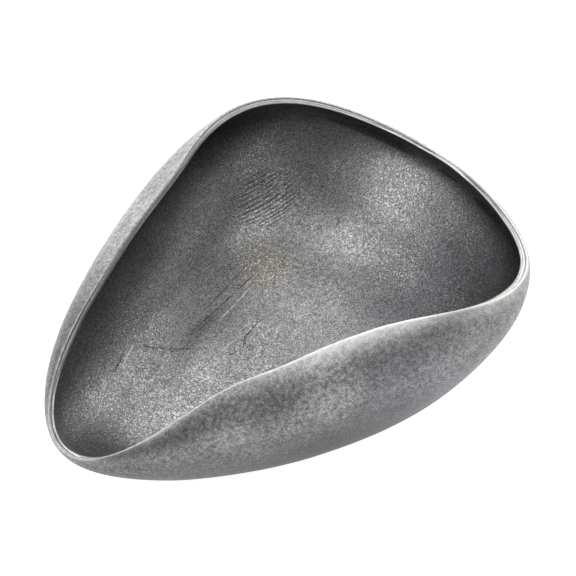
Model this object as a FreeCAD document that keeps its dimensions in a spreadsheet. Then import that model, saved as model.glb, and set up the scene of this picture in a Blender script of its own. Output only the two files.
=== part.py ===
import FreeCAD, Part
import Sketcher
import math
import os

# A three-cornered sauce bowl with a double wall and no handle. Two thin shells share one rim, with an air
# gap between them. +Z is up, the bowl stands on Z = 0, the pouring tip points along +X, and the bowl is
# symmetric about the XZ plane. The origin is the centre of the flat underside. All sizes are millimetres.

doc = FreeCAD.newDocument("sauce_bowl")
sheet = doc.addObject("Spreadsheet::Sheet", "Dimensions")

# Nine stations share half the plan evenly, from the tip (0) round one side to the middle of the back (8).
# Reaches are measured from the vertical axis, heights from the table.
STATION_SIZES = {
    "belly_reach": [95.0, 83.5, 70.0, 66.0, 70.5, 83.0, 97.0, 101.0, 100.0],
    "rim_reach": [96.0, 73.5, 54.5, 49.5, 52.0, 69.0, 95.0, 96.0, 96.5],
    "rim_height": [27.0, 45.0, 56.5, 60.0, 62.0, 62.5, 55.5, 52.0, 49.5],
}
LAST_STATION = 8

SIZES = {
    # The upright section of the outer skin, as shares of its reach and height.
    "foot_radius": 28.0,
    "belly_height_tip": 19.0,
    "belly_height_back": 34.5,
    "flat_share": 0.52,
    "keel_share": 0.90,
    "keel_rise": 0.89,
    "shoulder_rise": 0.50,
    "lip_share": 0.55,
    "lip_drop": 0.13,
    # The wall.
    "outer_sheet": 0.9,
    "inner_sheet": 0.9,
    "rim_gap": 1.2,
    "floor_gap": 5.0,
    "lip_radius": 0.35,
    # The closing bead between the two lips.
    "seam_recess": 0.35,
    "seam_depth": 1.6,
    "seam_clearance": 0.06,
    # The disc under the bowl and the plug in its vent, which lies behind the centre. The foot circle runs
    # about 0.08 inside its control points, so the disc's clearance is that much less than this.
    "plate_thickness": 1.0,
    "plate_clearance": 0.12,
    "plate_chamfer": 0.3,
    "vent_radius": 1.5,
    "vent_offset": 14.0,
    "plug_head_radius": 3.0,
    "plug_head_height": 0.8,
    "plug_recess": 0.2,
    "plug_clearance": 0.02,
}

DEGREE = 3
POLES_AROUND = 48
SPANS_UP = 3
SPLITS_PER_SPAN = 5
SEW_TOLERANCE = 1e-4


def fill_sheet():
    """Writes every driving dimension to the sheet, one aliased cell each."""
    cells = dict(SIZES)
    for name, values in STATION_SIZES.items():
        for station, value in enumerate(values):
            cells[f"{name}_{station}"] = value
    for row, (alias, value) in enumerate(cells.items(), start=1):
        sheet.set(f"A{row}", alias)
        sheet.set(f"B{row}", str(value))
        sheet.setAlias(f"B{row}", alias)
    doc.recompute()


def size(alias):
    """A driving dimension, read from the sheet."""
    return float(sheet.get(alias))


def around(name, angle):
    """A station size at any angle in radians: the cosine series that passes through the stations."""
    values = [size(f"{name}_{station}") for station in range(LAST_STATION + 1)]
    halves = [0.5 if station in (0, LAST_STATION) else 1.0 for station in range(LAST_STATION + 1)]
    total = 0.0
    for order in range(LAST_STATION + 1):
        step = order * math.pi / LAST_STATION
        term = sum(value * half * math.cos(step * i) for i, (value, half) in enumerate(zip(values, halves)))
        total += halves[order] * term * math.cos(order * angle)
    return total * 2.0 / LAST_STATION


def section_poles(angle):
    """The control points of the outer skin's upright section, from the foot circle to the rim."""
    foot = size("foot_radius")
    belly = around("belly_reach", angle)
    rim = around("rim_reach", angle)
    rim_z = around("rim_height", angle)
    tip_z = size("belly_height_tip")
    back_z = size("belly_height_back")
    belly_z = (tip_z + back_z) / 2 + (tip_z - back_z) / 2 * math.cos(angle)
    upright = rim_z - belly_z
    section = [
        (foot, 0.0),
        (foot + size("flat_share") * (belly - foot), 0.0),
        (foot + size("keel_share") * (belly - foot), size("keel_rise") * belly_z),
        (belly, belly_z + size("shoulder_rise") * upright),
        (rim + size("lip_share") * (belly - rim), rim_z - size("lip_drop") * upright),
        (rim, rim_z),
    ]
    return [FreeCAD.Vector(r * math.cos(angle), r * math.sin(angle), z) for r, z in section]


def outer_skin():
    """The outside of the bowl: a cubic surface, closed round the axis, from the foot circle to the rim."""
    poles = [section_poles(2 * math.pi * i / POLES_AROUND) for i in range(POLES_AROUND)]
    knots_around = [float(i) for i in range(POLES_AROUND + 1)]
    knots_up = [i / SPANS_UP for i in range(SPANS_UP + 1)]
    clamped = [DEGREE + 1] + [1] * (SPANS_UP - 1) + [DEGREE + 1]
    skin = Part.BSplineSurface()
    skin.buildFromPolesMultsKnots(
        poles, [1] * (POLES_AROUND + 1), clamped, knots_around, knots_up, True, False, DEGREE, DEGREE
    )
    for split in range(1, SPANS_UP * SPLITS_PER_SPAN):
        if split % SPLITS_PER_SPAN:
            skin.insertVKnot(split / (SPANS_UP * SPLITS_PER_SPAN), 1, 1e-9)
    return skin


def inward_skin(skin, rim_depth, foot_depth):
    """A skin that lies inside the given one, by foot_depth at the foot and rim_depth at the rim."""
    inward = skin.copy()
    knots = skin.VKnotSequence
    for i in range(1, skin.NbUPoles + 1):
        u = (i - 2) % POLES_AROUND
        for j in range(1, skin.NbVPoles + 1):
            v = sum(knots[j : j + DEGREE]) / DEGREE
            depth = rim_depth + (foot_depth - rim_depth) * (1 + math.cos(math.pi * v)) / 2
            inward.setPole(i, j, skin.getPole(i, j) - skin.normal(u, v) * depth)
    return inward


def closed_solid(faces):
    """One solid from faces that meet edge to edge."""
    shell = Part.makeShell(faces)
    shell.sewShape(SEW_TOLERANCE)
    solid = Part.makeSolid(shell)
    if solid.Volume < 0:
        solid.reverse()
    return solid


def ring(skin, v):
    """The closed edge round a skin at one height parameter."""
    return skin.vIso(v).toShape()


def ring_below(skin, distance):
    """The closed edge on a skin a set distance below its rim."""
    bearings = [float(u) for u in range(POLES_AROUND + 1)]
    points = []
    for u in bearings[:-1]:
        slope = skin.getDN(u, 1.0, 0, 1).Length
        points.append(skin.value(u, 1.0 - distance / slope))
    curve = Part.BSplineCurve()
    curve.interpolate(Points=points, PeriodicFlag=True, Parameters=bearings)
    return curve.toShape()


def round_lip(solid, skin):
    """The solid with the rim edge of one of its skins rounded."""
    rim = ring(skin, 1.0)
    edges = [edge for edge in solid.Edges if edge.isClosed() and edge.distToShape(rim)[0] < SEW_TOLERANCE]
    return solid.makeFillet(size("lip_radius"), edges)


def add_shape(name, shape):
    """A sub-part whose shape is given whole."""
    part = doc.addObject("Part::Feature", name)
    part.Label = name
    part.Shape = shape
    part.Placement = FreeCAD.Placement()
    return part


def make_outer_shell(skin):
    """The drawn outer sheet, open at the foot circle, with a rounded outer lip."""
    sheet_depth = size("outer_sheet")
    inside = inward_skin(skin, sheet_depth, sheet_depth)
    faces = [
        skin.toShape(),
        Part.makeRuledSurface(ring(skin, 1.0), ring(inside, 1.0)),
        inside.toShape(),
        Part.makeRuledSurface(ring(skin, 0.0), ring(inside, 0.0)),
    ]
    return add_shape("outer_shell", round_lip(closed_solid(faces), skin))


def make_inner_shell(skin):
    """The drawn inner sheet, with a flat floor that runs smoothly into the wall and a rounded inner lip."""
    rim_depth = size("outer_sheet") + size("rim_gap")
    foot_depth = size("outer_sheet") + size("floor_gap")
    outside = inward_skin(skin, rim_depth, foot_depth)
    inside = inward_skin(skin, rim_depth + size("inner_sheet"), foot_depth + size("inner_sheet"))
    faces = [
        outside.toShape(),
        Part.makeRuledSurface(ring(outside, 1.0), ring(inside, 1.0)),
        inside.toShape(),
        Part.Face(Part.Wire([ring(outside, 0.0)])),
        Part.Face(Part.Wire([ring(inside, 0.0)])),
    ]
    return add_shape("inner_shell", round_lip(closed_solid(faces), inside))


def make_rim_seam(skin):
    """The bead that closes the gap between the two lips, sunk a little below them."""
    clearance = size("seam_clearance")
    near_depth = size("outer_sheet") + clearance
    far_depth = size("outer_sheet") + size("rim_gap") - clearance
    top = size("seam_recess")
    bottom = top + size("seam_depth")
    corners = [(near_depth, top), (near_depth, bottom), (far_depth, bottom), (far_depth, top)]
    rings = [ring_below(inward_skin(skin, depth, depth), below) for depth, below in corners]
    faces = [Part.makeRuledSurface(rings[i - 1], rings[i]) for i in range(len(rings))]
    return add_shape("rim_seam", closed_solid(faces))


def origin_plane(body, role):
    """One of a body's own origin planes."""
    return next(plane for plane in body.Origin.OriginFeatures if plane.Role == role)


def circle_sketch(body, name, radius, height, behind="0"):
    """A level circle, with its radius, its height and how far it lies behind the axis bound to the sheet."""
    sketch = body.newObject("Sketcher::SketchObject", name)
    sketch.AttachmentSupport = [(origin_plane(body, "XY_Plane"), "")]
    sketch.MapMode = "FlatFace"
    centre = FreeCAD.Vector(0, 0, 0)
    circle = sketch.addGeometry(Part.Circle(centre, FreeCAD.Vector(0, 0, 1), 1.0), False)
    sketch.addConstraint(Sketcher.Constraint("Coincident", circle, 3, -1, 1))
    index = sketch.addConstraint(Sketcher.Constraint("Radius", circle, 1.0))
    sketch.setExpression(f"Constraints[{index}]", radius)
    sketch.setExpression("AttachmentOffset.Base.x", f"-({behind})")
    sketch.setExpression("AttachmentOffset.Base.z", height)
    return sketch


def pad(body, name, sketch, length):
    """Raises a sketch by a length bound to the sheet."""
    feature = body.newObject("PartDesign::Pad", name)
    feature.Profile = sketch
    feature.setExpression("Length", length)
    doc.recompute()
    return feature


def make_base_plate():
    """The disc that closes the underside: the flat face that the bowl stands on, with the vent through it."""
    body = doc.addObject("PartDesign::Body", "base_plate")
    body.Label = "base_plate"
    disc = circle_sketch(body, "plate_outline", "Dimensions.foot_radius - Dimensions.plate_clearance", "0")
    plate = pad(body, "plate_disc", disc, "Dimensions.plate_thickness")
    solid_volume = plate.Shape.Volume
    vent = circle_sketch(body, "vent_outline", "Dimensions.vent_radius", "0", "Dimensions.vent_offset")
    hole = body.newObject("PartDesign::Pocket", "vent_hole")
    hole.Profile = vent
    hole.Type = "ThroughAll"
    hole.Reversed = True
    doc.recompute()
    if hole.Shape.Volume >= solid_volume:
        raise RuntimeError("the vent hole cuts nothing")
    edge_names = [
        f"Edge{i}"
        for i, edge in enumerate(hole.Shape.Edges, start=1)
        if edge.BoundBox.ZMax < 1e-6 and edge.BoundBox.XLength > 2 * size("plug_head_radius")
    ]
    chamfer = body.newObject("PartDesign::Chamfer", "plate_edge")
    chamfer.Base = (hole, edge_names)
    chamfer.setExpression("Size", "Dimensions.plate_chamfer")
    doc.recompute()
    return body


def make_vent_plug():
    """The plug that seals the vent: a shank in the plate and a wider head on top of it, inside the gap."""
    body = doc.addObject("PartDesign::Body", "vent_plug")
    body.Label = "vent_plug"
    behind = "Dimensions.vent_offset"
    shank_radius = "Dimensions.vent_radius - Dimensions.plug_clearance"
    shank = circle_sketch(body, "shank_outline", shank_radius, "Dimensions.plug_recess", behind)
    pad(body, "shank", shank, "Dimensions.plate_thickness - Dimensions.plug_recess")
    head_radius = "Dimensions.plug_head_radius"
    head = circle_sketch(body, "head_outline", head_radius, "Dimensions.plate_thickness", behind)
    pad(body, "head", head, "Dimensions.plug_head_height")
    return body


def check_and_write(parts):
    """Stops on a failed object or a bad shape, then writes one file for each sub-part."""
    doc.recompute()
    for item in doc.Objects:
        if "Invalid" in item.State or "Error" in item.State:
            raise RuntimeError(f"{item.Label} failed: {item.State}")
    for part in parts:
        if part.Shape.isNull() or not part.Shape.isValid():
            raise RuntimeError(f"{part.Label} has no valid shape")
    os.makedirs("parts", exist_ok=True)
    for part in parts:
        part.Shape.exportStep(f"parts/{part.Label}.step")
        box = part.Shape.BoundBox
        print(
            f"{part.Label}: {len(part.Shape.Solids)} solid, {part.Shape.Volume:.0f} mm3, "
            f"{box.XLength:.1f} x {box.YLength:.1f} x {box.ZLength:.1f} mm"
        )


fill_sheet()
bowl_skin = outer_skin()
check_and_write(
    [
        make_outer_shell(bowl_skin),
        make_inner_shell(bowl_skin),
        make_rim_seam(bowl_skin),
        make_base_plate(),
        make_vent_plug(),
    ]
)
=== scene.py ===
import math
from collections import namedtuple

import bmesh
import bpy
import numpy as np
from mathutils import Matrix, Vector, noise
from mathutils.bvhtree import BVHTree


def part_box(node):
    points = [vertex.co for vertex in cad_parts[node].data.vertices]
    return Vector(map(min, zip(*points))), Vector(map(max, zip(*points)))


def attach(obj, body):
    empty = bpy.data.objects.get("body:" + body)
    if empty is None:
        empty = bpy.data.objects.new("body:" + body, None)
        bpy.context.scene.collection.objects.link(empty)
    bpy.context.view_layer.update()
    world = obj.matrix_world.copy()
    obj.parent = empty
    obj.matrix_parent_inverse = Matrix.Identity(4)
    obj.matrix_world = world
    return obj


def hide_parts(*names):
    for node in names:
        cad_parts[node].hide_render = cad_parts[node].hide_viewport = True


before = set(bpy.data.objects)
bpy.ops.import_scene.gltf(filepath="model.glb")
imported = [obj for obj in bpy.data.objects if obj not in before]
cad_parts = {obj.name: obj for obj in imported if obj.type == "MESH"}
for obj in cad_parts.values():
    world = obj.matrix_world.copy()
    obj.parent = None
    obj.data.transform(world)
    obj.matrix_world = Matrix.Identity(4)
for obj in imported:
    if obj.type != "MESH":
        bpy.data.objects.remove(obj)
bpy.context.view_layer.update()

# The looks of a double-walled sauce bowl in tumbled grey metal. Each shell gets a finer mesh that is read off
# its CAD surface, with a rounded lip and a ripple in the metal, and the closing bead is made between their
# rims. The foot disc and its plug stay as they are in CAD. Lengths are metres.

MM = 0.001


def mm(*parts):
    """A place or a size given in millimetres."""
    return tuple(part * MM for part in parts)


# ---------------------------------------------------------------- reading the CAD surfaces

EYE = Vector(mm(0, 0, 25))  # every point of both skins can be seen from here
REACH = 0.2  # rays start or end this far from the eye
SECTIONS = 192  # upright half-planes round the axis
RAYS = 300  # cast in each section
STATIONS = 240  # points kept up each section
SEARCH_STEP = math.radians(0.6)
FINEST_STEP = SEARCH_STEP / 500
HALF_TURNED = math.cos(math.radians(45))  # between a skin's normal and the one half way over its lip
WAVES = 40  # how many waves round the axis are kept
OUTSIDE_DEGREE = 12  # of the polynomials up the sections
INSIDE_DEGREE = 7
SHEET = 0.9 * MM
LIP_RADIUS = 0.35 * MM
HALF_LIP = LIP_RADIUS * math.pi / 4
FLAT_RADIUS = 20 * MM  # the inside is level up to here, and has left its level by CURVED_RADIUS
CURVED_RADIUS = 32 * MM
FOOT_CLEARANCE = 0.3 * MM
NUDGE = 1e-4  # the share of a section that slopes are measured over

Skin = namedtuple("Skin", "waves level")  # level is the height of a flat middle, or None


def tree_of(node):
    """A ray tree of a CAD node."""
    return BVHTree.FromObject(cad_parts[node], bpy.context.evaluated_depsgraph_get())


def look(tree, bearing, angle, outside):
    """The point and normal that a ray meets in one upright half-plane, from the eye or towards it."""
    ray = Vector((math.cos(bearing) * math.cos(angle), math.sin(bearing) * math.cos(angle), math.sin(angle)))
    start = EYE + ray * REACH if outside else EYE
    point, normal, _, _ = tree.ray_cast(start, -ray if outside else ray, REACH)
    return point, normal


def lip_angle(tree, bearing, first_angle, outside):
    """The angle at which the rounded lip has turned half way from the skin to the land on top."""
    low = first_angle
    _, normal = look(tree, bearing, low, outside)
    step = SEARCH_STEP
    while step > FINEST_STEP:
        _, turned = look(tree, bearing, low + step, outside)
        if turned is None or turned.dot(normal) < HALF_TURNED:
            step /= 2
        else:
            low += step
            if step == SEARCH_STEP:
                normal = turned
    return low


def section(tree, bearing, first_angle, outside):
    """Evenly spaced (radius, height) stations up one section, from the first angle to the lip."""
    angles = np.linspace(first_angle, lip_angle(tree, bearing, first_angle, outside), RAYS)
    found = [look(tree, bearing, angle, outside)[0] for angle in angles]
    flat = np.array([(math.hypot(p.x, p.y), p.z) for p in found])
    length = np.concatenate([[0.0], np.cumsum(np.linalg.norm(np.diff(flat, axis=0), axis=1))])
    even = np.linspace(0.0, length[-1] - HALF_LIP, STATIONS)
    return np.stack([np.interp(even, length, flat[:, axis]) for axis in (0, 1)])


def read_skin(node, first_radius, first_height, outside):
    """A smooth skin, as polynomials up the sections by cosine waves round the axis, so its sides match."""
    tree = tree_of(node)
    first_angle = math.atan2(first_height - EYE.z, first_radius)
    sections = [section(tree, 2 * math.pi * i / SECTIONS, first_angle, outside) for i in range(SECTIONS)]
    grid = np.array(sections).transpose(2, 1, 0)
    degree = OUTSIDE_DEGREE if outside else INSIDE_DEGREE
    places = np.linspace(-1, 1, STATIONS)
    terms = np.polynomial.chebyshev.chebfit(places, grid.reshape(STATIONS, -1), degree)
    waves = np.fft.rfft(terms.reshape(degree + 1, 2, SECTIONS), axis=2).real[:, :, : WAVES + 1]
    return Skin(waves / SECTIONS, None if outside else first_height)


def bearings(around):
    """Evenly spread bearings, in radians from the pouring tip."""
    return 2 * math.pi * np.arange(around) / around


def rings(skin, rows, around):
    """Points on a skin: a closed ring of bearings for each row, 0 at the skin's start and 1 at its lip."""
    terms = np.fft.irfft(skin.waves * around, n=around, axis=2)
    flat = np.polynomial.chebyshev.chebval(np.asarray(rows) * 2 - 1, terms)
    radius, height = flat.transpose(0, 2, 1)
    if skin.level is not None:
        share = np.clip((radius - FLAT_RADIUS) / (CURVED_RADIUS - FLAT_RADIUS), 0, 1)
        height = skin.level + (height - skin.level) * share**2 * (3 - 2 * share)
    bearing = bearings(around)
    return np.stack([radius * np.cos(bearing), radius * np.sin(bearing), height], axis=-1)


def unit(vectors):
    """The same directions with length 1."""
    return vectors / np.linalg.norm(vectors, axis=-1, keepdims=True)


def slopes(skin, rows, around):
    """Unit vectors up the sections and out of the surface, for the points that rings() gives."""
    rows = np.asarray(rows)
    above = rings(skin, np.minimum(rows + NUDGE, 1), around)
    below = rings(skin, np.maximum(rows - NUDGE, 0), around)
    up = unit(above - below)
    here = rings(skin, rows, around)
    along = np.roll(here, -1, axis=1) - np.roll(here, 1, axis=1)
    return up, unit(np.cross(along, up))


INNER_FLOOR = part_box("inner_shell")[0].z + SHEET
FOOT_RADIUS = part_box("base_plate")[1].x + FOOT_CLEARANCE
outer_skin = read_skin("outer_shell", FOOT_RADIUS, 0.0, True)
inner_skin = read_skin("inner_shell", FLAT_RADIUS, INNER_FLOOR, False)


# ---------------------------------------------------------------- building meshes


def ring_faces(first_ring, last_ring, around):
    """Quads between two rings of vertex numbers."""
    low = first_ring * around + np.arange(around)
    high = last_ring * around + np.arange(around)
    return np.stack([low, np.roll(low, -1), np.roll(high, -1), high], axis=-1)


def ring_grid(count, around, closed):
    """Quads over a stack of rings; the last joins the first if closed."""
    pairs = [(i, i + 1) for i in range(count - 1)]
    if closed:
        pairs.append((count - 1, 0))
    return np.concatenate([ring_faces(a, b, around) for a, b in pairs])


def face_outwards(mesh):
    """Turns a closed mesh's faces outwards."""
    shape = bmesh.new()
    shape.from_mesh(mesh)
    if shape.calc_volume(signed=True) < 0:
        bmesh.ops.reverse_faces(shape, faces=shape.faces)
    shape.to_mesh(mesh)
    shape.free()


def make_piece(name, points, faces, wear_and_sheen, material, node):
    """A closed smooth mesh that stands for a CAD node, with one number for each vertex: how worn it is and
    how much painted sheen and highlight it has.
    """
    mesh = bpy.data.meshes.new(name)
    mesh.from_pydata(points.tolist(), [], [list(face) for face in faces])
    mesh.attributes.new("wear_and_sheen", "FLOAT", "POINT").data.foreach_set("value", np.asarray(wear_and_sheen, np.float32))
    mesh.validate()
    mesh.shade_smooth()
    piece = bpy.data.objects.new(name, mesh)
    bpy.context.scene.collection.objects.link(piece)
    face_outwards(mesh)
    piece.data.materials.append(material)
    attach(piece, "root")
    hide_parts(node)


# ---------------------------------------------------------------- the bowl's two sheets

AROUND = 480
OUTSIDE_ROWS = 170
INSIDE_ROWS = 146
BEND_ROW = 0.42  # where the inside bends up from its floor, with its rows closer together
BEND_WIDTH = 0.2
BEND_GAIN = 1.0
LIP_WIDTH = 0.008  # where the rows crowd together towards the lip
LIP_GAIN = 6.0
FINE_ROWS = 2000
EDGE = 0.14 * MM  # the small radius on the hidden side of each lip
LIP_STEPS = 5
BACK_ROWS = 12
BACK_START = 0.985
FLOOR_MARGIN = 0.1 * MM

RIPPLES = [(0.22 * MM, 34 * MM, 1), (0.05 * MM, 9 * MM, 2)]  # height, size and seed
SEED_SHIFT = (7.3, 3.1, 5.7)
CALM_SHARE = 0.15  # of a section, over which the ripple dies out

WORN_AND_LIT_EDGE = 0.004  # as shares of a section
SHEEN_WIDTH = 0.05
WORN_AND_LIT_STEPS = 2  # of the lip's land, past its rounding
HIDDEN_STEPS = 3  # of the lip's far side
HIDDEN_WEAR = 0.3
# the lips' worn colour is also a painted highlight, strongest at this bearing and least opposite
HANDLED_AND_LIT_BEARING = math.radians(108)
HANDLED_AND_LIT_RANGE = 0.8
OUTSIDE_SHEEN = 0.1  # how strong the painted sheen is in the band below the lip
FLANK_SHEEN = 0.35  # and how much more on the flanks
# painted sheen in the band below the inside lip
INSIDE_SHEEN = 0.3


def lip_profile():
    """(depth into the sheet, height above the lip's start) pairs from the skin over the lip to the back."""
    turns = [i / LIP_STEPS * math.pi / 2 for i in range(1, LIP_STEPS + 1)]
    profile = [(LIP_RADIUS * (1 - math.cos(t)), LIP_RADIUS * math.sin(t)) for t in turns]
    profile.append(((LIP_RADIUS + SHEET - EDGE) / 2, LIP_RADIUS))
    for turn in (0.0, math.pi / 4, math.pi / 2):
        profile.append((SHEET - EDGE * (1 - math.sin(turn)), LIP_RADIUS - EDGE * (1 - math.cos(turn))))
    profile.append((SHEET, -LIP_RADIUS))
    profile.append((SHEET, -3 * LIP_RADIUS))
    return profile


def crowd(count, bend_gain):
    """Rows from 0 to 1, closer together towards the lip and, by a gain, at the bend."""
    fine = np.linspace(0, 1, FINE_ROWS)
    at_bend = bend_gain * np.exp(-(((fine - BEND_ROW) / BEND_WIDTH) ** 2))
    at_lip = LIP_GAIN * np.exp((fine - 1) / LIP_WIDTH)
    density = 1 + at_bend + at_lip
    reach = np.concatenate([[0.0], np.cumsum((density[1:] + density[:-1]) / 2)])
    return np.interp(np.linspace(0, reach[-1], count), reach, fine)


def sheet_rings(skin, rows, inward, displace):
    """Every ring of a sheet: its skin, lip and back. inward is the side of the skin with the metal."""
    front = rings(skin, rows, AROUND)
    up, out = slopes(skin, rows, AROUND)
    metal = out * inward
    front = front - metal * displace(front, rows)[..., None]
    lip = [front[-1] + metal[-1] * depth + up[-1] * height for depth, height in lip_profile()]
    back_rows = np.linspace(BACK_START, 0, BACK_ROWS)
    back_metal = slopes(skin, back_rows, AROUND)[1] * inward
    back = rings(skin, back_rows, AROUND) + back_metal * SHEET
    return np.concatenate([front, np.array(lip), back])


def ripple(points, size, seed):
    """Smooth noise of about -1 to 1 at each point, with bumps of a size."""
    shift = Vector([seed * part for part in SEED_SHIFT])
    flat = points.reshape(-1, 3) / size
    return np.array([noise.noise(Vector(p) + shift) for p in flat]).reshape(points.shape[:-1])


def hand_worked(points, rows):
    """The slow ripple of a hand-finished sheet, none at the lip."""
    total = sum(height * ripple(points, size, seed) for height, size, seed in RIPPLES)
    return total * np.clip((1 - np.asarray(rows)) / CALM_SHARE, 0, 1)[:, None]


def hand_worked_above_foot(points, rows):
    """The same ripple, but none where the bowl stands."""
    return hand_worked(points, rows) * np.clip(np.asarray(rows) / CALM_SHARE, 0, 1)[:, None]


def handled_and_lit(around):
    """How much the rim at each bearing is worn and painted highlit: most at one bearing, set above, least
    opposite.
    """
    return 1 - HANDLED_AND_LIT_RANGE * (1 - np.cos(bearings(around) - HANDLED_AND_LIT_BEARING)) / 2


def flank_share(around):
    """1 at the middle of each flank, where the metal rolls in most, and 0 at the tip and at the back."""
    return np.sin(bearings(around)) ** 4


def wear_and_sheen_of(rows, rings_total, sheen_band):
    """How worn and painted bright each point is: most on the lip, whose worn colour is also a painted
    highlight, hardly at all on the back, and a painted sheen in a band below the lip.
    """
    below = 1 - rows
    lip_end = len(rows) + LIP_STEPS + WORN_AND_LIT_STEPS
    edge = np.zeros(rings_total)
    edge[: len(rows)] = np.exp(-below / WORN_AND_LIT_EDGE)
    edge[len(rows) : lip_end] = 1
    edge[lip_end : lip_end + HIDDEN_STEPS] = HIDDEN_WEAR
    # painted sheen in a band below the lip
    painted_sheen = np.zeros(rings_total)
    painted_sheen[: len(rows)] = np.exp(-((below / SHEEN_WIDTH) ** 2))
    return np.minimum(np.outer(edge, handled_and_lit(AROUND)) + np.outer(painted_sheen, sheen_band), 1).ravel()


def make_outside(material):
    """The outside of the bowl, as one closed sheet that is open under the foot."""
    rows = crowd(OUTSIDE_ROWS, 0.0)
    stack = sheet_rings(outer_skin, rows, -1, hand_worked_above_foot)
    faces = ring_grid(len(stack), AROUND, True)
    wear_and_sheen = wear_and_sheen_of(rows, len(stack), OUTSIDE_SHEEN + FLANK_SHEEN * flank_share(AROUND))
    make_piece("bowl_outside", stack.reshape(-1, 3), faces, wear_and_sheen, material, "outer_shell")


def floor_patch(radius):
    """A disc of even quads: x, y, which vertex of the first ring each point is, and which lie inside it."""
    side = AROUND // 4
    lines = math.sqrt(2) * np.cos(3 * math.pi / 4 - np.arange(side + 1) * math.pi / 2 / side)
    x, y = np.meshgrid(lines, lines, indexing="ij")
    x, y = x * np.sqrt(1 - y**2 / 2), y * np.sqrt(1 - x**2 / 2)
    number = np.round(np.arctan2(y, x) / (2 * math.pi) * AROUND).astype(int) % AROUND
    inner = np.zeros((side + 1, side + 1), bool)
    inner[1:-1, 1:-1] = True
    return x * radius, y * radius, number, inner


def make_inside(material):
    """The inside of the bowl, as one closed sheet with its floor."""
    rows = crowd(INSIDE_ROWS, BEND_GAIN)
    stack = sheet_rings(inner_skin, rows, 1, hand_worked)
    x, y, number, inner = floor_patch(np.hypot(stack[0, :, 0], stack[0, :, 1]).min() - FLOOR_MARGIN)
    floor = np.stack([x[inner], y[inner], np.full(inner.sum(), INNER_FLOOR)], axis=-1)
    floor[:, 2] += hand_worked(floor[None], [0.0])[0]
    first_new = stack.shape[0] * AROUND
    number[inner] = first_new + np.arange(inner.sum())
    corners = [number[:-1, :-1], number[1:, :-1], number[1:, 1:], number[:-1, 1:]]
    quads = np.stack(corners, axis=-1).reshape(-1, 4)
    underside = np.array([[0.0, 0.0, INNER_FLOOR - SHEET]])
    points = np.concatenate([stack.reshape(-1, 3), floor, underside])
    centre = len(points) - 1
    last = (stack.shape[0] - 1) * AROUND + np.arange(AROUND)
    fan = np.stack([last, np.roll(last, -1), np.full(AROUND, centre)], axis=-1)
    faces = ring_grid(len(stack), AROUND, False).tolist() + quads[:, ::-1].tolist() + fan.tolist()
    wear_and_sheen = np.zeros(len(points))
    wear_and_sheen[:first_new] = wear_and_sheen_of(rows, len(stack), np.full(AROUND, INSIDE_SHEEN))
    make_piece("bowl_inside", points, faces, wear_and_sheen, material, "inner_shell")


# ---------------------------------------------------------------- the closing bead

BEAD_AROUND = 1440
BEAD_OVERLAP = 0.02 * MM  # into the back of each sheet
BEAD_DEPTH = 1.2 * MM
WELD_HEIGHT = 0.02 * MM
WELD_WAVES = 420
WORN_AND_LIT_FROM = 0.2  # as a share of the gap: the groove beside the outer lip stays dull
BEAD_TOP = [  # share of the gap from the outer to the inner sheet, and height from the top of the lips
    (0.0, -0.34 * MM),
    (0.12, -0.34 * MM),
    (0.26, -0.10 * MM),
    (0.4, -0.04 * MM),
    (0.65, -0.02 * MM),
    (0.85, -0.03 * MM),
    (1.0, -0.08 * MM),
]


def make_bead(material):
    """The closing bead between the lips, with the faint ripple of a weld."""
    sides = []
    for skin, inward in ((outer_skin, -1), (inner_skin, 1)):
        edge = rings(skin, [1.0], BEAD_AROUND)[0]
        up, out = slopes(skin, [1.0], BEAD_AROUND)
        metal = out[0] * inward
        sides.append((edge + metal * (SHEET - BEAD_OVERLAP), up[0]))
    (near, near_up), (far, far_up) = sides
    weld = WELD_HEIGHT * np.sin(bearings(BEAD_AROUND) * WELD_WAVES)
    stack = []
    for share, level in BEAD_TOP:
        height = LIP_RADIUS + level + weld * math.sin(math.pi * share)
        up = near_up * (1 - share) + far_up * share
        stack.append(near * (1 - share) + far * share + up * height[:, None])
    stack.append(far - far_up * BEAD_DEPTH)
    stack.append(near - near_up * BEAD_DEPTH)
    stack = np.array(stack)
    faces = ring_grid(len(stack), BEAD_AROUND, True)
    exposed = [float(share > WORN_AND_LIT_FROM) for share, _ in BEAD_TOP] + [0.0, 0.0]
    wear_and_sheen = np.outer(exposed, handled_and_lit(BEAD_AROUND)).ravel()
    make_piece("rim_bead", stack.reshape(-1, 3), faces, wear_and_sheen, material, "rim_seam")


# ---------------------------------------------------------------- nodes that the materials are made of

# Sizes in the materials are of the real surface: a grain of size 1 mm has bumps about 1 mm across. A range
# is a (from, to) pair.

GRAIN_ROUGHNESS = 0.62
WAVE_SCALE = 0.32  # makes a wave texture repeat about once in each unit of its coordinates


def add(tree, kind, **settings):
    """A new node with its settings."""
    made = tree.nodes.new(kind)
    for key, value in settings.items():
        setattr(made, key, value)
    return made


def feed(tree, socket, value):
    """Gives an input a number, a vector or another node's output."""
    if isinstance(value, bpy.types.NodeSocket):
        tree.links.new(value, socket)
    else:
        socket.default_value = value


def maths(tree, operation, *values):
    """The result of a Math node."""
    made = add(tree, "ShaderNodeMath", operation=operation)
    for socket, value in zip(made.inputs, values):
        feed(tree, socket, value)
    return made.outputs[0]


def most(tree, values):
    """The largest of several values at each place."""
    top = values[0]
    for value in values[1:]:
        top = maths(tree, "MAXIMUM", top, value)
    return top


def spread(tree, value, old, new=(0.0, 1.0)):
    """value moved smoothly from one range to another, and held at its ends."""
    made = add(tree, "ShaderNodeMapRange", interpolation_type="SMOOTHSTEP")
    for socket, number in zip(made.inputs, (value, *old, *new)):
        feed(tree, socket, number)
    return made.outputs["Result"]


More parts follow.
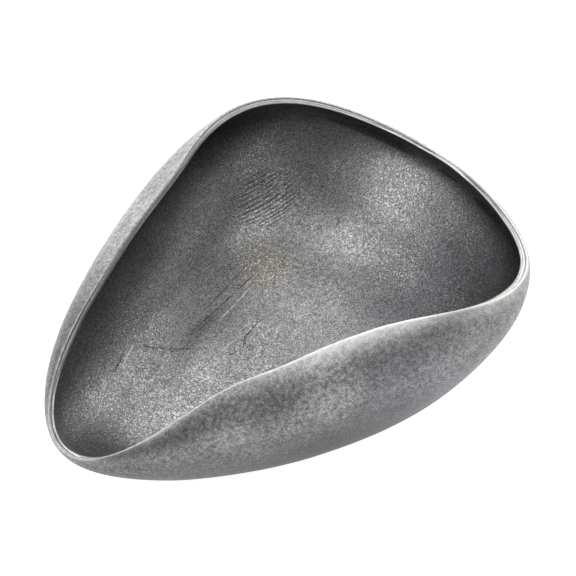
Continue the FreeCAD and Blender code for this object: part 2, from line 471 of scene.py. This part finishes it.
def blend_colours(tree, amount, first, second, mode="MIX"):
    """Two colours mixed, or multiplied, by an amount."""
    made = add(tree, "ShaderNodeMix", data_type="RGBA", blend_type=mode)
    feed(tree, made.inputs["Factor"], amount)
    feed(tree, made.inputs[6], first)  # the two colour inputs, which share their names with others
    feed(tree, made.inputs[7], second)
    return made.outputs[2]


def object_place(tree):
    """Where each point lies on the object."""
    return add(tree, "ShaderNodeTexCoord").outputs["Object"]


def local(tree, centre, turn, size):
    """Places measured from a centre, turned about the upright axis and divided by a size."""
    made = add(tree, "ShaderNodeMapping", vector_type="TEXTURE")
    feed(tree, made.inputs["Vector"], object_place(tree))
    feed(tree, made.inputs["Location"], centre)
    feed(tree, made.inputs["Rotation"], (0.0, 0.0, turn))
    feed(tree, made.inputs["Scale"], size)
    return made.outputs["Vector"]


def grain(tree, size, detail, centre=(0.0, 0.0, 0.0), turn=0.0, stretch=1.0):
    """Noise of 0 to 1, about 0.5, with bumps of a size, drawn out along one direction by a stretch."""
    made = add(tree, "ShaderNodeTexNoise")
    feed(tree, made.inputs["Vector"], local(tree, centre, turn, (size * stretch, size, size)))
    feed(tree, made.inputs["Scale"], 1.0)
    feed(tree, made.inputs["Detail"], detail)
    feed(tree, made.inputs["Roughness"], GRAIN_ROUGHNESS)
    return made.outputs["Fac"]


def parts_of(tree, vector):
    """The node whose outputs are a vector's X, Y and Z."""
    made = add(tree, "ShaderNodeSeparateXYZ")
    feed(tree, made.inputs[0], vector)
    return made


def patch(tree, centre, size, edge=(0.2, 1.0), turn=0.0):
    """1 in the middle of a round or oval patch, falling to 0 at its edge."""
    reach = add(tree, "ShaderNodeVectorMath", operation="LENGTH")
    feed(tree, reach.inputs[0], local(tree, centre, turn, size))
    return spread(tree, reach.outputs["Value"], edge, (1.0, 0.0))


# ---------------------------------------------------------------- the marks inside the bowl

# Lines are (from, to, half width, wobble). The wobble is how wide a strip the line strays over, in half
# widths.
CUT_LINES = [
    (mm(31, -37), mm(13, -22), 0.4 * MM, 7.0),  # cracks
    (mm(36, -35), mm(48, -28), 0.35 * MM, 6.0),
    (mm(7, -11), mm(-1, -11), 0.32 * MM, 6.0),
    (mm(0, -10), mm(-6, -16), 0.32 * MM, 6.0),
    (mm(-4, -14), mm(-14, -17), 0.32 * MM, 6.0),
    (mm(14, -29), mm(-35, -37), 0.28 * MM, 2.0),  # scratches
    (mm(8, -28), mm(-4, -31), 0.28 * MM, 2.0),
    (mm(2, -34), mm(-30, -41), 0.24 * MM, 2.0),
    (mm(-66, -29), mm(-64, -28), 0.8 * MM, 0.6),  # pits
    (mm(-48.5, 13), mm(-47, 14), 0.8 * MM, 0.6),
]
RUBBED_LINES = [
    (mm(40, -31), mm(31, -36), 0.3 * MM, 0.8),
    (mm(-2, -27), mm(-26, -33), 0.35 * MM, 1.5),
    (mm(22, -38), mm(15, -43), 0.25 * MM, 0.8),
]
WRINKLED_CENTRE = mm(-50, -53, 21)
WRINKLED_SIZE = mm(17, 13, 18)
WRINKLED_TURN = math.radians(167)
WRINKLE_SPACING = 1.15 * MM
GLINT_CENTRE = mm(-84, -14, 32)  # a painted highlight on the back wall: bright flecks where the light catches it
GLINT_SIZE = mm(22, 22, 22)


def groove(tree, start, end, width, wobble):
    """1 along a thin line between two (x, y) places, fading at its ends and sides."""
    run = (Vector(end) - Vector(start)) / 2
    middle = (Vector(end) + Vector(start)) / 2
    turn = math.atan2(run.y, run.x)
    where = parts_of(tree, local(tree, (*middle, 0.0), turn, (run.length, width, 1.0)))
    bend = maths(tree, "MULTIPLY", maths(tree, "SUBTRACT", grain(tree, 4 * MM, 2.0), 0.5), wobble)
    aside = maths(tree, "ABSOLUTE", maths(tree, "ADD", where.outputs["Y"], bend))
    thin = spread(tree, aside, (0.3, 1.0), (1.0, 0.0))
    along = spread(tree, maths(tree, "ABSOLUTE", where.outputs["X"]), (0.6, 1.0), (1.0, 0.0))
    broken = spread(tree, grain(tree, 2.2 * MM, 1.0, (*start, 0.0)), (0.38, 0.55), (0.3, 1.0))
    return maths(tree, "MULTIPLY", maths(tree, "MULTIPLY", thin, along), broken)


def wrinkles(tree):
    """1 in the creases of the wrinkled patch: short broken lines that run along one direction."""
    inside = patch(tree, WRINKLED_CENTRE, WRINKLED_SIZE, (0.45, 1.0), WRINKLED_TURN)
    bands = add(tree, "ShaderNodeTexWave", bands_direction="Y", wave_profile="SIN")
    spacing = (WRINKLE_SPACING * 3, WRINKLE_SPACING, WRINKLE_SPACING * 3)
    feed(tree, bands.inputs["Vector"], local(tree, WRINKLED_CENTRE, WRINKLED_TURN, spacing))
    feed(tree, bands.inputs["Scale"], WAVE_SCALE)
    feed(tree, bands.inputs["Distortion"], 4.0)
    feed(tree, bands.inputs["Detail"], 2.0)
    feed(tree, bands.inputs["Detail Scale"], 0.6)
    creases = spread(tree, bands.outputs["Fac"], (0.6, 0.95))
    pieces = grain(tree, 1.6 * MM, 1.0, WRINKLED_CENTRE, WRINKLED_TURN, 3.2)
    broken = spread(tree, pieces, (0.4, 0.52))
    return maths(tree, "MULTIPLY", maths(tree, "MULTIPLY", creases, inside), broken)


def painted_glints(tree):
    """1 on the bright flecks of the painted highlight on the back wall."""
    specks = spread(tree, grain(tree, 0.9 * MM, 1.0, mm(5, 0, 0)), (0.58, 0.68))
    return maths(tree, "MULTIPLY", specks, patch(tree, GLINT_CENTRE, GLINT_SIZE))


def inner_marks(tree):
    """What is cut into the inside (cracks, scratches, pits, wrinkles), and what is bright: rubbed lines and
    painted glints.
    """
    cut = [groove(tree, *line) for line in CUT_LINES] + [wrinkles(tree)]
    rubbed_and_glints = [groove(tree, *line) for line in RUBBED_LINES] + [painted_glints(tree)]
    return most(tree, cut), most(tree, rubbed_and_glints)


# ---------------------------------------------------------------- materials

WORN_AND_HIGHLIT = (0.665, 0.655, 0.638, 1.0)  # metal polished by use, also the colour of the painted highlights and sheen
CUT = (0.03, 0.03, 0.032, 1.0)  # the dark inside of a mark
BRIGHT_MARK_SHARE = 0.4  # how far the rubbed lines and the painted glints take the worn colour
CUT_SHARE = 0.85
CUT_HEIGHT = -1.1  # of a mark, where the speckle's height is 0 to 1
COARSE_HEIGHT = 0.7
FLECK_EDGE = 0.16  # half the range of the speckle over which a fleck of sharpness 1 goes from dark to light
SPARKLE_GAIN = 2.2  # how much brighter a sparkle is than the light colour
DULLEST = 0.25  # the least share of the glitter
POLISHED_BY_SPARKLE = -0.08
POLISHED_BY_WEAR = -0.04
BUMP_STRENGTH = 0.55
BUMP_HEIGHT = 0.1 * MM
LATHE_STRENGTH = 0.6
LATHE_HEIGHT = 0.12 * MM
EVEN = ((0.0, 1.0), (1.0, 1.0))  # a painted shade by height: a range of heights, and how light the metal is at its ends


def speckle(tree):
    """The finest grain: round bumps, and short strokes in two directions."""
    fine = grain(tree, 0.42 * MM, 1.5)
    strokes = [grain(tree, 0.32 * MM, 1.0, mm(turn, 0, 0), turn, 2.6) for turn in (0.5, 2.3)]
    drawn = maths(tree, "MULTIPLY", maths(tree, "ADD", *strokes), 0.3)
    return maths(tree, "MULTIPLY_ADD", fine, 0.4, drawn)


def sparkles(tree, drift, glitter):
    """Facets that catch the light, strongest where the drift is high."""
    strokes = [grain(tree, 0.5 * MM, 1.0, mm(0, turn, 0), turn, 2.2) for turn in (1.1, 2.7)]
    facets = spread(tree, most(tree, strokes), (0.6, 0.7))
    return maths(tree, "MULTIPLY", facets, spread(tree, drift, (0.35, 0.6), (glitter * DULLEST, glitter)))


def tone(tree, coarse, drift, blotch, painted_shade_by_height):
    """What the colour is multiplied by: slow clouds, coarse spots, a painted shade by height, warm and cool.
    """
    clouds = spread(tree, grain(tree, 14 * MM, 3.0), (0.3, 0.7), (0.92, 1.08))
    spots = spread(tree, coarse, (0.3, 0.7), (1.0 - blotch, 1.0 + blotch))
    painted_shade = spread(tree, parts_of(tree, object_place(tree)).outputs["Z"], *painted_shade_by_height)
    level = maths(tree, "MULTIPLY", maths(tree, "MULTIPLY", clouds, spots), painted_shade)
    warm = spread(tree, drift, (0.35, 0.65), (-0.012, 0.012))
    made = add(tree, "ShaderNodeCombineColor")
    feed(tree, made.inputs[0], maths(tree, "MULTIPLY", level, maths(tree, "ADD", 1.0, warm)))
    feed(tree, made.inputs[1], level)
    feed(tree, made.inputs[2], maths(tree, "MULTIPLY", level, maths(tree, "SUBTRACT", 1.0, warm)))
    return made.outputs[0]


def stained_and_painted(tree, colour, coarse, stains_and_painted_light):
    """The colour multiplied by each tint, of stains and of painted light and shade, in soft mottled patches.
    """
    mottle = spread(tree, coarse, (0.35, 0.6), (0.5, 1.0))
    for centre, radius, tint, strength in stains_and_painted_light:
        near = maths(tree, "MULTIPLY", patch(tree, centre, (radius, radius, radius)), strength)
        near = maths(tree, "MULTIPLY", near, mottle)
        colour = blend_colours(tree, near, colour, (*tint, 1.0), "MULTIPLY")
    return colour


def wear_and_sheen_share(tree, coarse):
    """How worn the surface is, with its painted sheen and highlight, from the mesh, a little less in the
    hollows.
    """
    wear_and_sheen = add(tree, "ShaderNodeAttribute", attribute_name="wear_and_sheen").outputs["Fac"]
    return maths(tree, "MULTIPLY", wear_and_sheen, spread(tree, coarse, (0.25, 0.55), (0.75, 1.0)))


def tumbled_metal(
    name, dark, light, rough, glitter=0.75, fleck=1.3, blotch=0.1, painted_shade_by_height=EVEN, stains_and_painted_light=(), marks=None
):
    """Grey cast metal, tumbled matt: bright flecks on a darker ground, slow patches and polished lips, with
    painted light and shade in patches and by height, and a painted highlight in the lips' worn colour.

    glitter is how strong the sparkles are, fleck how sharp the flecks are, and blotch how strong the coarse
    spots are.
    """
    material = bpy.data.materials.new(name)
    material.use_nodes = True
    tree = material.node_tree
    speck = speckle(tree)
    coarse = grain(tree, 1.6 * MM, 2.0)
    drift = grain(tree, 45 * MM, 1.0, mm(20, 30, 0))
    sparkle = sparkles(tree, drift, glitter)
    worn_and_sheen = wear_and_sheen_share(tree, coarse)

    flecks = spread(tree, speck, (0.5 - FLECK_EDGE / fleck, 0.5 + FLECK_EDGE / fleck))
    colour = blend_colours(tree, flecks, (*dark, 1.0), (*light, 1.0))
    colour = blend_colours(tree, sparkle, colour, (*[SPARKLE_GAIN * part for part in light], 1.0))
    colour = blend_colours(tree, 1.0, colour, tone(tree, coarse, drift, blotch, painted_shade_by_height), "MULTIPLY")
    colour = stained_and_painted(tree, colour, coarse, stains_and_painted_light)
    colour = blend_colours(tree, worn_and_sheen, colour, WORN_AND_HIGHLIT)
    height = maths(tree, "MULTIPLY_ADD", coarse, COARSE_HEIGHT, speck)
    if marks:
        cut, rubbed_and_glints = marks(tree)
        colour = blend_colours(tree, maths(tree, "MULTIPLY", rubbed_and_glints, BRIGHT_MARK_SHARE), colour, WORN_AND_HIGHLIT)
        colour = blend_colours(tree, maths(tree, "MULTIPLY", cut, CUT_SHARE), colour, CUT)
        height = maths(tree, "MULTIPLY_ADD", cut, CUT_HEIGHT, height)
    finish = maths(tree, "ADD", rough, spread(tree, speck, (0.35, 0.65), (0.06, -0.06)))
    finish = maths(tree, "MULTIPLY_ADD", sparkle, POLISHED_BY_SPARKLE, finish)
    finish = maths(tree, "MULTIPLY_ADD", worn_and_sheen, POLISHED_BY_WEAR, finish)

    bump = add(tree, "ShaderNodeBump", name="grain")
    feed(tree, bump.inputs["Strength"], BUMP_STRENGTH)
    feed(tree, bump.inputs["Distance"], BUMP_HEIGHT)
    feed(tree, bump.inputs["Height"], height)
    shader = tree.nodes["Principled BSDF"]
    feed(tree, shader.inputs["Metallic"], 1.0)
    feed(tree, shader.inputs["Base Color"], colour)
    feed(tree, shader.inputs["Roughness"], finish)
    feed(tree, shader.inputs["Normal"], bump.outputs["Normal"])
    return material


def turned_metal(name, dark, light, rough, centre, spacing):
    """Grey metal with the fine rings of a lathe round an upright axis."""
    material = tumbled_metal(name, dark, light, rough)
    tree = material.node_tree
    turning = add(tree, "ShaderNodeTexWave", wave_type="RINGS", rings_direction="Z", wave_profile="SIN")
    feed(tree, turning.inputs["Vector"], local(tree, centre, 0.0, (spacing, spacing, spacing)))
    feed(tree, turning.inputs["Scale"], WAVE_SCALE)
    feed(tree, turning.inputs["Distortion"], 0.4)
    lathe = add(tree, "ShaderNodeBump")
    feed(tree, lathe.inputs["Strength"], LATHE_STRENGTH)
    feed(tree, lathe.inputs["Distance"], LATHE_HEIGHT)
    feed(tree, lathe.inputs["Height"], turning.outputs["Fac"])
    feed(tree, lathe.inputs["Normal"], tree.nodes["grain"].outputs["Normal"])
    feed(tree, tree.nodes["Principled BSDF"].inputs["Normal"], lathe.outputs["Normal"])
    return material


# Stains are (centre, radius, tint, strength). A tint above 1 lightens the metal. A few are stains and tints
# of the metal itself; the strong ones are painted light and painted shade, which with the painted shade by
# height give the broad light and dark of the surface.
OUTSIDE_STAINS_AND_PAINTED_LIGHT = [
    # a small brown stain and two faint tints of the metal itself
    (mm(-51, 70, 57), 3.0 * MM, (0.62, 0.42, 0.25), 0.9),
    (mm(-10, 68, 35), 30 * MM, (0.99, 0.96, 1.03), 1.0),
    (mm(40, 45, 25), 25 * MM, (1.02, 1.01, 0.95), 1.0),
    # painted shade: darkens the foot of the near wall
    (mm(14, 60, 10), 46 * MM, (0.45, 0.45, 0.47), 1.0),
    # painted light: these three lighten the near wall under the rim and the left flank
    (mm(20, 56, 52), 19 * MM, (1.7, 1.69, 1.64), 1.0),
    (mm(54, 41, 47), 16 * MM, (1.4, 1.39, 1.36), 1.0),
    (mm(0, -65, 48), 70 * MM, (2.1, 2.1, 2.1), 1.0),
]
INSIDE_STAINS_AND_PAINTED_LIGHT = [
    # two tints of the metal itself, warm and cool
    (mm(-33, -35, 9), 16 * MM, (1.16, 1.09, 0.97), 1.0),
    (mm(-70, 30, 30), 60 * MM, (0.95, 0.97, 1.03), 1.0),
    # painted light: these three lighten the inside floor
    (mm(50, -7, 9), 42 * MM, (1.3, 1.3, 1.29), 1.0),
    (mm(-48, -23, 10), 34 * MM, (1.5, 1.5, 1.48), 1.0),
    (mm(16, -20, 7), 20 * MM, (1.45, 1.45, 1.43), 1.0),
]


def outside_metal():
    """The tumbled outside, with painted shade darker towards the table."""
    return tumbled_metal(
        "tumbled_outside",
        dark=(0.075, 0.075, 0.077),
        light=(0.225, 0.223, 0.227),
        rough=0.45,
        glitter=0.4,
        fleck=1.0,
        blotch=0.26,
        # painted shade: the outside darker towards the table
        painted_shade_by_height=(mm(8, 40), (0.25, 1.0)),
        stains_and_painted_light=OUTSIDE_STAINS_AND_PAINTED_LIGHT,
    )


def inside_metal():
    """The tumbled inside with its marks, with painted shade a little darker towards the rim."""
    return tumbled_metal(
        "tumbled_inside",
        dark=(0.048, 0.048, 0.0495),
        light=(0.205, 0.205, 0.204),
        rough=0.41,
        # painted shade: the inside a little darker towards the rim
        painted_shade_by_height=(mm(30, 42), (1.0, 0.75)),
        stains_and_painted_light=INSIDE_STAINS_AND_PAINTED_LIGHT,
        marks=inner_marks,
    )


def bead_metal():
    """The dull bead, bright only where it is worn and painted highlit."""
    return tumbled_metal("worn_bead", dark=(0.05, 0.05, 0.05), light=(0.12, 0.12, 0.12), rough=0.5)


def foot_metal():
    """The turned foot disc."""
    centre = (0.0, 0.0, 0.0)
    return turned_metal("turned_foot", (0.14, 0.14, 0.14), (0.26, 0.26, 0.26), 0.42, centre, 1.8 * MM)


def plug_metal():
    """The turned plug, a little brighter than the foot."""
    low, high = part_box("vent_plug")
    centre = ((low.x + high.x) / 2, (low.y + high.y) / 2, 0.0)
    return turned_metal("turned_plug", (0.2, 0.2, 0.2), (0.36, 0.36, 0.36), 0.35, centre, 0.6 * MM)


def coat(node, material):
    """Gives a CAD node that stays in view its material."""
    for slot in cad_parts[node].material_slots:
        slot.material = material


# ---------------------------------------------------------------- floor, lights and camera

MIDDLE = Vector(mm(0, 0, 30))  # of the bowl, where the lights point and near where the camera does
FLOOR_LEVEL = -0.05 * MM  # just clear of the foot
FLOOR_CORNERS = [(-2, -2), (2, -2), (2, 2), (-2, 2)]
FLOOR_GREY = (0.6, 0.6, 0.6, 1)
FLOOR_ROUGHNESS = 0.9
FLOOR_GLOW = 0.9
WHITE = (1, 1, 1, 1)
WORLD_GLOW = 0.55
SOFTBOX_DISTANCE = 0.9
SOFTBOXES = [  # azimuth and elevation in degrees, power in watts, diameter in metres
    (0, 15, 0.8, 0.5),
    (45, 40, 0.3, 0.5),
    (45, 65, 2.0, 0.5),
    (68, 32, 1.6, 0.1),
    (180, 15, 0.5, 0.5),
    (180, 65, 1.8, 0.5),
    (225, 15, 1.3, 0.5),
    (270, 15, 0.9, 0.5),
    (270, 40, 1.2, 0.5),
    (315, 40, 2.3, 0.5),
    (315, 65, 0.4, 0.5),
]
CAMERA_AZIMUTH = 138.0  # degrees
CAMERA_ELEVATION = 45.04
CAMERA_DISTANCE = 1.25
AIM_RIGHT = 9.7 * MM  # how far beside and above the middle the camera points
AIM_UP = 11.5 * MM
WIDTH_IN_VIEW = 210.4 * MM
FAR_CLIP = 20.0


def towards(azimuth, elevation):
    """The direction from the bowl to an azimuth, 0 in front of it, and an elevation, both in degrees."""
    across, rise = math.radians(azimuth), math.radians(elevation)
    return Vector((math.sin(across) * math.cos(rise), -math.cos(across) * math.cos(rise), math.sin(rise)))


def make_floor():
    """A plain pale floor that glows, so that it stays near white."""
    mesh = bpy.data.meshes.new("floor")
    mesh.from_pydata([(x, y, FLOOR_LEVEL) for x, y in FLOOR_CORNERS], [], [(0, 1, 2, 3)])
    floor = bpy.data.objects.new("floor", mesh)
    bpy.context.scene.collection.objects.link(floor)
    pale = bpy.data.materials.new("pale_floor")
    pale.use_nodes = True
    paint = pale.node_tree.nodes["Principled BSDF"]
    paint.inputs["Base Color"].default_value = FLOOR_GREY
    paint.inputs["Roughness"].default_value = FLOOR_ROUGHNESS
    paint.inputs["Emission Color"].default_value = WHITE
    paint.inputs["Emission Strength"].default_value = FLOOR_GLOW
    mesh.materials.append(pale)


def light_studio():
    """A white surround and the softboxes."""
    world = bpy.data.worlds.new("studio")
    world.use_nodes = True
    surround = world.node_tree.nodes["Background"]
    surround.inputs["Color"].default_value = WHITE
    surround.inputs["Strength"].default_value = WORLD_GLOW
    bpy.context.scene.world = world
    bpy.context.scene.view_settings.view_transform = "Standard"
    for azimuth, elevation, power, size in SOFTBOXES:
        facing = towards(azimuth, elevation)
        softbox = bpy.data.lights.new("softbox", "AREA")
        softbox.shape = "DISK"
        softbox.size = size
        softbox.energy = power
        lamp = bpy.data.objects.new("softbox", softbox)
        lamp.location = MIDDLE + facing * SOFTBOX_DISTANCE
        lamp.rotation_mode = "QUATERNION"
        lamp.rotation_quaternion = (-facing).to_track_quat("-Z", "Y")
        bpy.context.scene.collection.objects.link(lamp)


def place_camera():
    """The camera, which points a little beside the bowl's middle."""
    back = towards(CAMERA_AZIMUTH, CAMERA_ELEVATION)
    bearing = math.radians(CAMERA_AZIMUTH)
    right = Vector((math.cos(bearing), math.sin(bearing), 0.0))
    up = back.cross(right)
    place = MIDDLE + back * CAMERA_DISTANCE
    aim = (MIDDLE + right * AIM_RIGHT + up * AIM_UP - place).normalized()
    camera_right = aim.cross(up).normalized()
    camera_up = camera_right.cross(aim)
    turn = Matrix((camera_right, camera_up, -aim)).transposed().to_4x4()
    camera = bpy.data.objects.new("camera", bpy.data.cameras.new("camera"))
    camera.data.lens = camera.data.sensor_width * CAMERA_DISTANCE / WIDTH_IN_VIEW
    camera.data.clip_end = FAR_CLIP
    camera.matrix_world = Matrix.Translation(place) @ turn
    bpy.context.scene.collection.objects.link(camera)
    bpy.context.scene.camera = camera


# ---------------------------------------------------------------- the scene

make_outside(outside_metal())
make_inside(inside_metal())
make_bead(bead_metal())
coat("base_plate", foot_metal())
coat("vent_plug", plug_metal())
make_floor()
light_studio()
place_camera()
